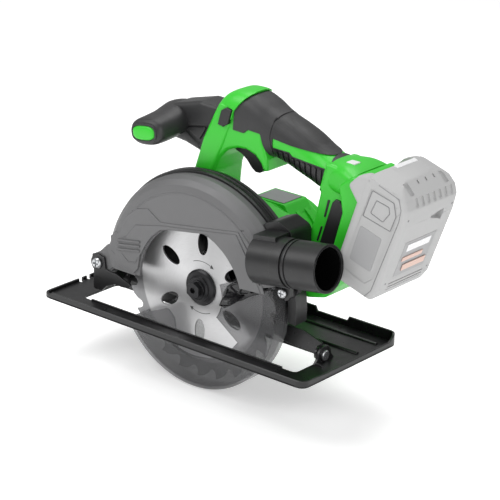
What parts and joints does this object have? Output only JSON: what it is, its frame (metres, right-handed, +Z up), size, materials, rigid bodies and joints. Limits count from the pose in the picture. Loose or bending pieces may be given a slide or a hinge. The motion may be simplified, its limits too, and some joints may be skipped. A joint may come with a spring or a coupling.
{
  "type": "cordless circular saw",
  "caption": "Cordless hand circular saw with a tilting base plate, spring-closed clear lower guard, dust port, main and front handles, and a slide-on battery.",
  "frame": {"origin": "on the blade's axis, in the middle plane of the blade", "axes": "+X to the rear (battery), +Y from the blade side to the motor side, +Z up from the base plate"},
  "size_m": [0.345, 0.161, 0.2569],
  "materials": {
    "guard_grey": "satin paint on cast alloy",
    "black_plastic": "matt black moulding",
    "green_plastic": "satin green moulding",
    "grip_rubber": "fine-grained soft overmould",
    "grey_plastic": "dark grey moulding",
    "black_steel": "satin black paint",
    "blade_steel": "circular brushed",
    "dark_steel": "blackened",
    "zinc_steel": "zinc plated",
    "smoked_clear": "smoked clear plastic",
    "cast_alloy": "as cast",
    "gear_steel": "ground",
    "laminations": "stacked sheet",
    "copper": "enamelled copper wire",
    "fan_nylon": "moulded",
    "circuit_board": "solder resist",
    "contact_brass": "plated",
    "cell_can": "shrink wrap over a metal can",
    "battery_shell": "pale grey moulding",
    "label_grey": "blank label",
    "window_white": "pale lens"
  },
  "bodies": {
    "base": {"base_plate": "black_steel", "bevel_hinge_pins": "zinc_steel", "bevel_quadrant": "black_steel"},
    "bevel_frame": {"front_bracket": "black_steel", "depth_guide": "black_steel", "depth_pivot_screw": "zinc_steel", "bevel_lock_stud": "dark_steel"},
    "bevel_knob": {"bevel_lock_knob": "black_plastic"},
    "saw_body": {"upper_guard": "guard_grey", "guard_inner_shell": "black_plastic", "dust_port": "black_plastic", "dust_port_screw": "zinc_steel", "guard_screws": "zinc_steel", "rim_screws": "zinc_steel", "guard_spring": "zinc_steel", "guard_circlip": "zinc_steel", "gear_case": "cast_alloy", "spindle_bearings": "gear_steel", "motor_bearings": "gear_steel", "motor_housing": "green_plastic", "motor_end_cap": "green_plastic", "rating_label": "label_grey", "stator_core": "laminations", "stator_windings": "copper", "depth_lock_bolt": "dark_steel", "handle_near_half": "green_plastic", "handle_far_half": "green_plastic", "rubber_grip": "grip_rubber", "under_grip": "grip_rubber", "strut_panels": "black_plastic", "battery_foot": "green_plastic", "indicator_window": "window_white", "handle_screws": "zinc_steel", "trigger_pin": "zinc_steel", "switch_module": "black_plastic", "control_board": "circuit_board", "battery_terminal_block": "contact_brass", "aux_handle": "grey_plastic", "aux_handle_cap": "green_plastic"},
    "depth_lever": {"depth_lock_lever": "black_plastic"},
    "blade_spindle": {"saw_blade": "blade_steel", "outer_flange": "dark_steel", "inner_flange": "dark_steel", "blade_bolt": "dark_steel", "spindle": "gear_steel", "output_gear": "gear_steel"},
    "rotor": {"rotor_shaft": "gear_steel", "rotor_core": "laminations", "cooling_fan": "fan_nylon"},
    "guard_swinging": {"lower_guard": "smoked_clear", "guard_lever": "black_plastic"},
    "trigger_lever": {"trigger": "black_plastic"},
    "lock_off": {"lock_off_button": "black_plastic"},
    "spindle_lock": {"spindle_lock_button": "black_plastic"},
    "battery": {"battery_case": "battery_shell", "battery_lid": "battery_shell", "battery_cells": "cell_can", "battery_contacts": "contact_brass"},
    "latch": {"battery_latch": "battery_shell"}
  },
  "joints": [
    {"name": "bevel_tilt", "type": "hinge", "parent": "base", "child": "bevel_frame", "pos_m": [0, 0.007, -0.027], "axis": [1, 0, 0], "range_deg": [0, 45]},
    {"name": "bevel_knob_turn", "type": "hinge", "parent": "bevel_frame", "child": "bevel_knob", "pos_m": [-0.12, 0.03781, -0.01263], "axis": [-1, 0, 0], "range_deg": [0, 90]},
    {"name": "depth_swing", "type": "hinge", "parent": "bevel_frame", "child": "saw_body", "pos_m": [-0.106, 0, -0.002], "axis": [0, -1, 0], "range_deg": [0, 20]},
    {"name": "depth_lever_turn", "type": "hinge", "parent": "saw_body", "child": "depth_lever", "pos_m": [0.07, 0.03, -0.002], "axis": [0, 1, 0], "range_deg": [0, 25]},
    {"name": "blade_spin", "type": "hinge", "parent": "saw_body", "child": "blade_spindle", "pos_m": [0, 0, 0], "axis": [0, 1, 0], "continuous": true},
    {"name": "rotor_spin", "type": "hinge", "parent": "saw_body", "child": "rotor", "pos_m": [0.018, 0.06, 0.02524], "axis": [0, 1, 0], "continuous": true},
    {"name": "guard_swing", "type": "hinge", "parent": "saw_body", "child": "guard_swinging", "pos_m": [0, 0, 0], "axis": [0, -1, 0], "range_deg": [0, 105], "stiffness_Nm_per_rad": 0.08, "springref_deg": -143.24},
    {"name": "trigger_pull", "type": "hinge", "parent": "saw_body", "child": "trigger_lever", "pos_m": [0.008, 0.042, 0.124], "axis": [0, -1, 0], "range_deg": [0, 10], "stiffness_Nm_per_rad": 0.2, "springref_deg": -11.46},
    {"name": "lock_off_slide", "type": "slide", "parent": "saw_body", "child": "lock_off", "axis": [0, 1, 0], "range_m": [-0.003, 0.003], "stiffness_N_per_m": 400},
    {"name": "spindle_lock_press", "type": "slide", "parent": "saw_body", "child": "spindle_lock", "axis": [0, -1, 0], "range_m": [0, 0.002], "stiffness_N_per_m": 600, "springref_m": -0.002},
    {"name": "battery_slide", "type": "slide", "parent": "saw_body", "child": "battery", "axis": [0.2924, 0, 0.9563], "range_m": [0, 0.09]},
    {"name": "latch_press", "type": "slide", "parent": "battery", "child": "latch", "axis": [-0.2924, 0, -0.9563], "range_m": [0, 0.003], "stiffness_N_per_m": 600, "springref_m": -0.002}
  ],
  "couplings": [
    {"joint": "rotor_spin", "follows": "blade_spin", "ratio": -5.2}
  ]
}
